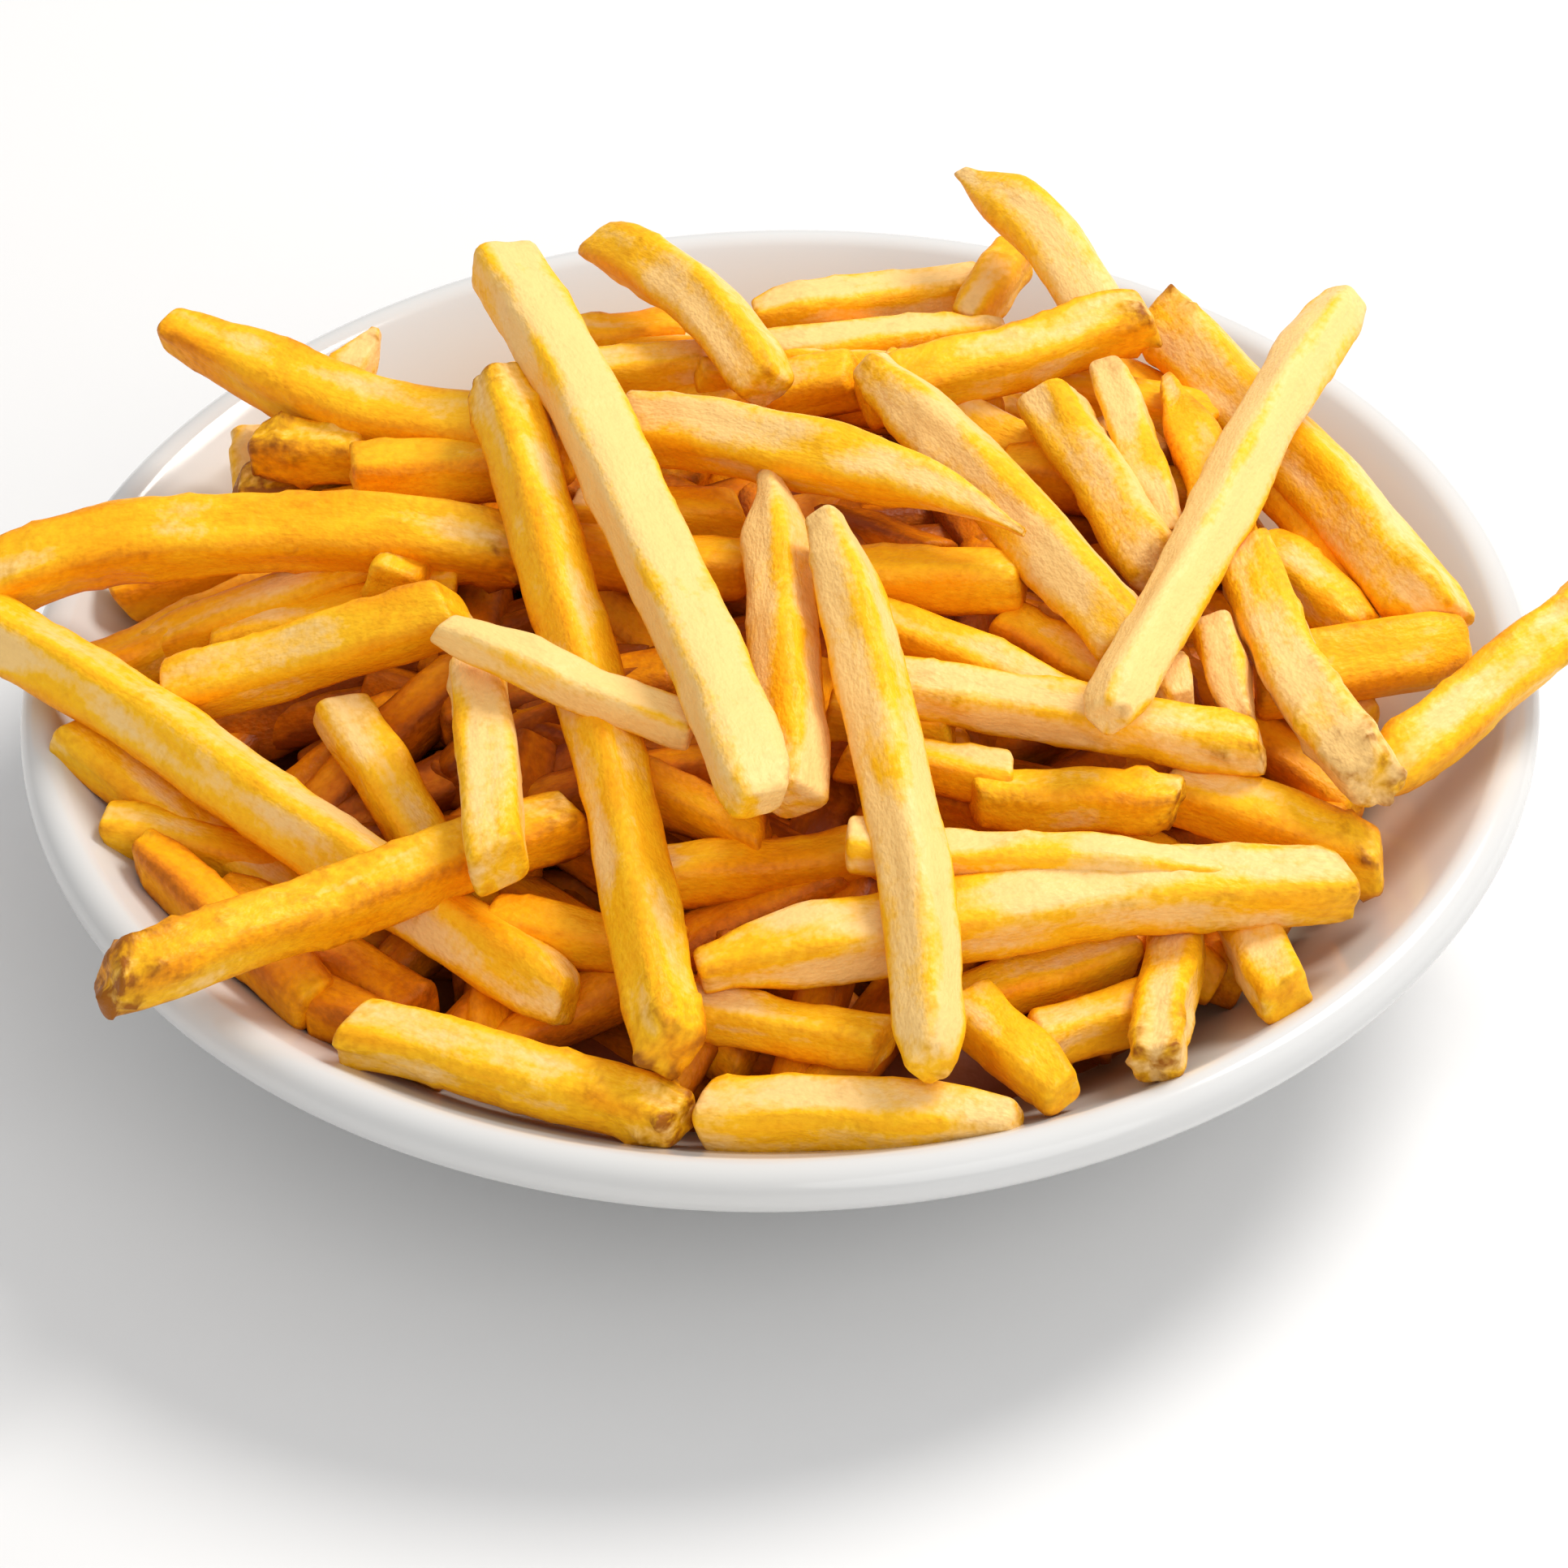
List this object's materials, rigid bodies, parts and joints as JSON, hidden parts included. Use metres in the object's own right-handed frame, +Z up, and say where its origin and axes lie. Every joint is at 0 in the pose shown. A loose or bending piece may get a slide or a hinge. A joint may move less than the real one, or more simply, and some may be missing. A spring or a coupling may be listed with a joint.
{
  "type": "french fries portion",
  "caption": "Straight-cut french fries heaped over the rim of a shallow round white porcelain bowl on a foot ring.",
  "frame": {"origin": "on the bowl's axis, on the surface that it stands on", "axes": "+Z up along the bowl's axis; -Y is the side the portion is seen from, and +X is that view's right"},
  "size_m": [0.22, 0.2, 0.0764],
  "materials": {
    "porcelain": "white glaze, smooth and glossy, with a softly rounded lip",
    "fried_potato": "fried potato: pale cream to golden yellow, orange in the shade, oily sheen, brown blistered ends"
  },
  "bodies": {
    "root": {"bowl": "porcelain", "fries": "fried_potato"}
  },
  "joints": []
}
